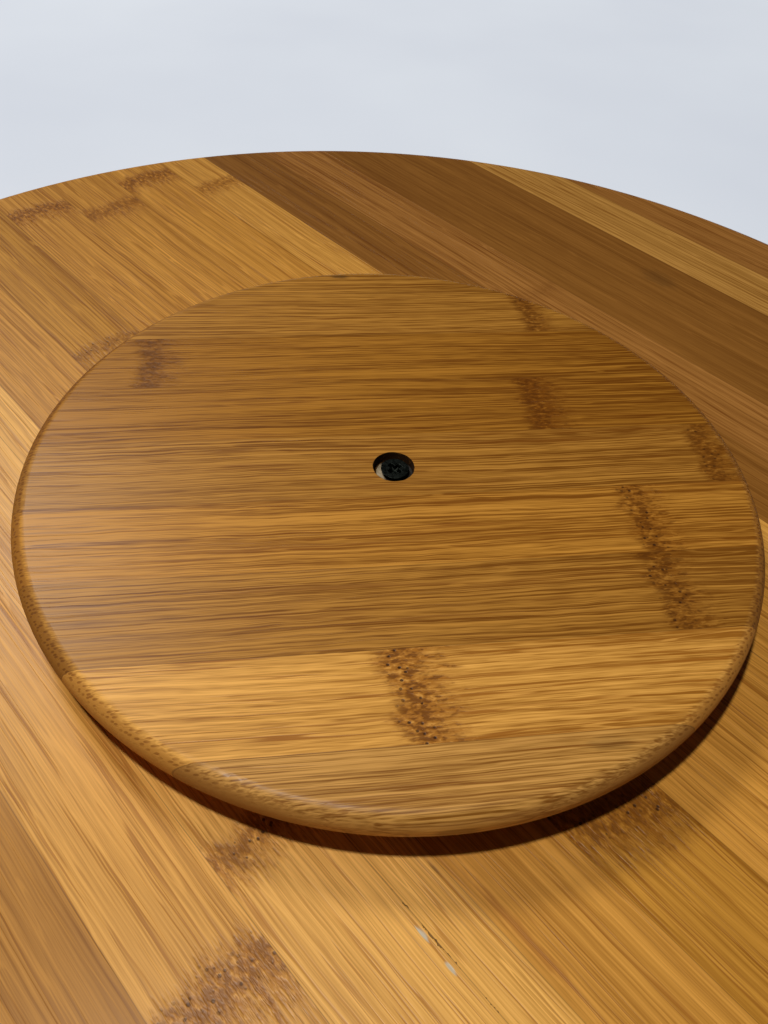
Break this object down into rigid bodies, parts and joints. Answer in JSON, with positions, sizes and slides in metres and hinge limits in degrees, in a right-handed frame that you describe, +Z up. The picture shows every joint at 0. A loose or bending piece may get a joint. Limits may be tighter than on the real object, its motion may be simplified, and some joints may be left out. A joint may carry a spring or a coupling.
{
  "type": "lazy susan turntable",
  "caption": "Bamboo lazy susan turntable shown upside down: a large glued-slat tray and a small round base that turn on a thrust ball ring about a centre screw.",
  "frame": {"origin": "on the turning axis, at the tray's serving face, which is the lowest face because the turntable lies upside down", "axes": "+Z up along the turning axis, from the tray's serving face to the base's foot face, so the part is turned over about X for use; +X to the right and +Y away as the object is seen"},
  "size_m": [0.39, 0.39, 0.029],
  "materials": {
    "bamboo_golden": "satin clear-varnished bamboo, light golden slats",
    "bamboo_tan": "satin clear-varnished bamboo, middle-brown slats",
    "bamboo_greyish": "satin clear-varnished bamboo, duller greyish-brown slat",
    "bamboo_dark": "satin clear-varnished bamboo, steamed caramel-brown slats",
    "zinc_steel": "bright zinc-plated pressed steel ring",
    "zinc_screws": "bright zinc-plated countersunk screws",
    "ball_steel": "polished bearing steel",
    "sleeve_steel": "turned steel tube",
    "black_screw": "black oxide, slightly oily",
    "nylon_washer": "natural cream nylon",
    "cage_nylon": "moulded natural nylon"
  },
  "bodies": {
    "tray": {"tray_race": "zinc_steel", "tray_race_screws": "zinc_screws", "tray_slat_01": "bamboo_golden", "tray_slat_02": "bamboo_golden", "tray_slat_03": "bamboo_golden", "tray_slat_04": "bamboo_golden", "tray_slat_05": "bamboo_golden", "tray_slat_06": "bamboo_golden", "tray_slat_07": "bamboo_golden", "tray_slat_08": "bamboo_golden", "tray_slat_09": "bamboo_golden", "tray_slat_10": "bamboo_golden", "tray_slat_11": "bamboo_golden", "tray_slat_12": "bamboo_golden", "tray_slat_13": "bamboo_golden", "tray_slat_14": "bamboo_tan", "tray_slat_15": "bamboo_dark", "tray_slat_16": "bamboo_dark", "tray_slat_17": "bamboo_dark", "tray_slat_18": "bamboo_dark", "tray_slat_19": "bamboo_dark", "tray_slat_20": "bamboo_tan", "tray_slat_21": "bamboo_tan", "pivot_sleeve": "sleeve_steel", "pivot_washer": "nylon_washer", "pivot_screw": "black_screw"},
    "ball_ring": {"ball_cage": "cage_nylon", "bearing_balls": "ball_steel"},
    "base": {"base_race": "zinc_steel", "base_race_screws": "zinc_screws", "base_slat_01": "bamboo_tan", "base_slat_02": "bamboo_golden", "base_slat_03": "bamboo_greyish", "base_slat_04": "bamboo_golden", "base_slat_05": "bamboo_tan", "base_slat_06": "bamboo_tan", "base_slat_07": "bamboo_tan", "base_slat_08": "bamboo_tan", "base_slat_09": "bamboo_tan"}
  },
  "joints": [
    {"name": "base_spin", "type": "hinge", "parent": "tray", "child": "base", "pos_m": [0, 0, 0.0255], "axis": [0, 0, 1], "continuous": true},
    {"name": "cage_spin", "type": "hinge", "parent": "tray", "child": "ball_ring", "pos_m": [0, 0, 0.0185], "axis": [0, 0, 1], "continuous": true}
  ],
  "couplings": [
    {"joint": "cage_spin", "follows": "base_spin", "ratio": 0.5}
  ]
}
